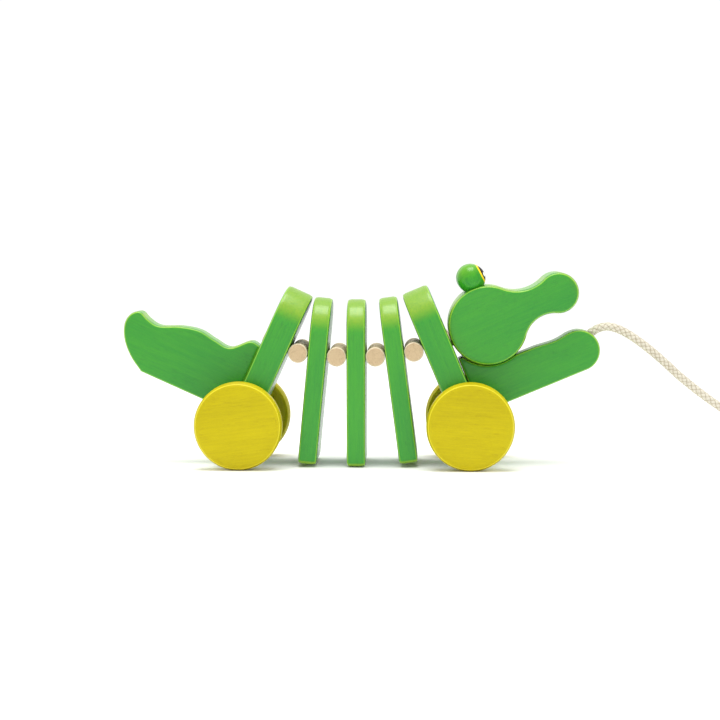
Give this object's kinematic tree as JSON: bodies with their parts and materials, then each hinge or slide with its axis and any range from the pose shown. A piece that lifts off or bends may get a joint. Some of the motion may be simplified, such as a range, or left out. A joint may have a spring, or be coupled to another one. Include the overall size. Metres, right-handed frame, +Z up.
{
  "type": "pull along toy",
  "caption": "Wooden alligator pull toy: arched body plates strung with dowels so the body bends, wheels at both ends, eyes on top, and a cotton pull cord.",
  "frame": {"origin": "on the floor, under the middle of the toy's box without the pull cord", "axes": "+X forward towards the snout, +Y to the toy's left, +Z up"},
  "size_m": [0.5257, 0.127, 0.1392],
  "materials": {
    "green_wood": "green water stain under satin lacquer, grain showing",
    "yellow_wood": "yellow water stain under satin lacquer, grain showing",
    "bare_wood": "clear satin lacquer on pale hardwood",
    "eye_paint": "glossy paint with a yellow ring and a black pupil",
    "cotton": "cream braided cotton"
  },
  "bodies": {
    "front_end": {"front_plate": "green_wood", "head": "green_wood", "neck_peg": "bare_wood", "lower_jaw": "green_wood", "jaw_peg_1": "bare_wood", "jaw_peg_2": "bare_wood", "eye_left": "eye_paint", "eye_right": "eye_paint", "eye_peg_left": "bare_wood", "eye_peg_right": "bare_wood", "front_plug_left": "bare_wood", "front_plug_right": "bare_wood", "pull_cord": "cotton", "pull_cord_coil": "cotton", "pull_cord_end": "cotton", "pull_cord_knot": "cotton"},
    "front_wheels": {"front_axle": "bare_wood", "front_wheel_left": "yellow_wood", "front_wheel_right": "yellow_wood", "front_washer_left": "bare_wood", "front_washer_right": "bare_wood"},
    "body_3": {"body_plate_3": "green_wood"},
    "body_2": {"body_plate_2": "green_wood", "body_cord_left": "cotton", "body_cord_right": "cotton"},
    "body_1": {"body_plate_1": "green_wood"},
    "rear_end": {"rear_plate": "green_wood", "tail": "green_wood", "tail_peg_1": "bare_wood", "tail_peg_2": "bare_wood", "rear_plug_left": "bare_wood", "rear_plug_right": "bare_wood"},
    "rear_wheels": {"rear_axle": "bare_wood", "rear_wheel_left": "yellow_wood", "rear_wheel_right": "yellow_wood", "rear_washer_left": "bare_wood", "rear_washer_right": "bare_wood"},
    "dowel_1_body": {"dowel_1": "bare_wood"},
    "dowel_2_body": {"dowel_2": "bare_wood"},
    "dowel_3_body": {"dowel_3": "bare_wood"},
    "dowel_4_body": {"dowel_4": "bare_wood"}
  },
  "joints": [
    {"name": "front_wheels_roll", "type": "hinge", "parent": "front_end", "child": "front_wheels", "pos_m": [0.07512, 0, 0.02997], "axis": [0, 1, 0], "continuous": true},
    {"name": "rear_wheels_roll", "type": "hinge", "parent": "rear_end", "child": "rear_wheels", "pos_m": [-0.08247, 0, 0.02997], "axis": [0, 1, 0], "continuous": true},
    {"name": "gap_4_bend", "type": "hinge", "parent": "front_end", "child": "body_3", "pos_m": [0.03669, 0, 0.07958], "axis": [0, 1, 0], "range_deg": [-25.2, 4.8], "deforming": ["body_cord_left", "body_cord_right"]},
    {"name": "dowel_4_turn", "type": "hinge", "parent": "front_end", "child": "dowel_4_body", "pos_m": [0.03669, 0, 0.07958], "axis": [0, 1, 0], "range_deg": [-13.1, 2.9]},
    {"name": "gap_3_bend", "type": "hinge", "parent": "body_3", "child": "body_2", "pos_m": [0.01032, 0, 0.07611], "axis": [0, 1, 0], "range_deg": [-17.4, 12.6], "deforming": ["body_cord_left", "body_cord_right"]},
    {"name": "dowel_3_turn", "type": "hinge", "parent": "body_3", "child": "dowel_3_body", "pos_m": [0.01032, 0, 0.07611], "axis": [0, 1, 0], "range_deg": [-9.2, 6.8]},
    {"name": "gap_2_bend", "type": "hinge", "parent": "body_2", "child": "body_1", "pos_m": [-0.01628, 0, 0.07606], "axis": [0, 1, 0], "range_deg": [-15.5, 14.5], "deforming": ["body_cord_left", "body_cord_right"]},
    {"name": "dowel_2_turn", "type": "hinge", "parent": "body_2", "child": "dowel_2_body", "pos_m": [-0.01628, 0, 0.07606], "axis": [0, 1, 0], "range_deg": [-8.25, 7.75]},
    {"name": "gap_1_bend", "type": "hinge", "parent": "body_1", "child": "rear_end", "pos_m": [-0.04276, 0, 0.07856], "axis": [0, 1, 0], "range_deg": [-28.8, 1.2], "deforming": ["body_cord_left", "body_cord_right"]},
    {"name": "dowel_1_turn", "type": "hinge", "parent": "body_1", "child": "dowel_1_body", "pos_m": [-0.04276, 0, 0.07856], "axis": [0, 1, 0], "range_deg": [-14.9, 1.1]}
  ],
  "couplings": [
    {"joint": "dowel_4_turn", "follows": "gap_4_bend", "ratio": 0.5},
    {"joint": "dowel_3_turn", "follows": "gap_3_bend", "ratio": 0.5},
    {"joint": "dowel_2_turn", "follows": "gap_2_bend", "ratio": 0.5},
    {"joint": "dowel_1_turn", "follows": "gap_1_bend", "ratio": 0.5}
  ]
}
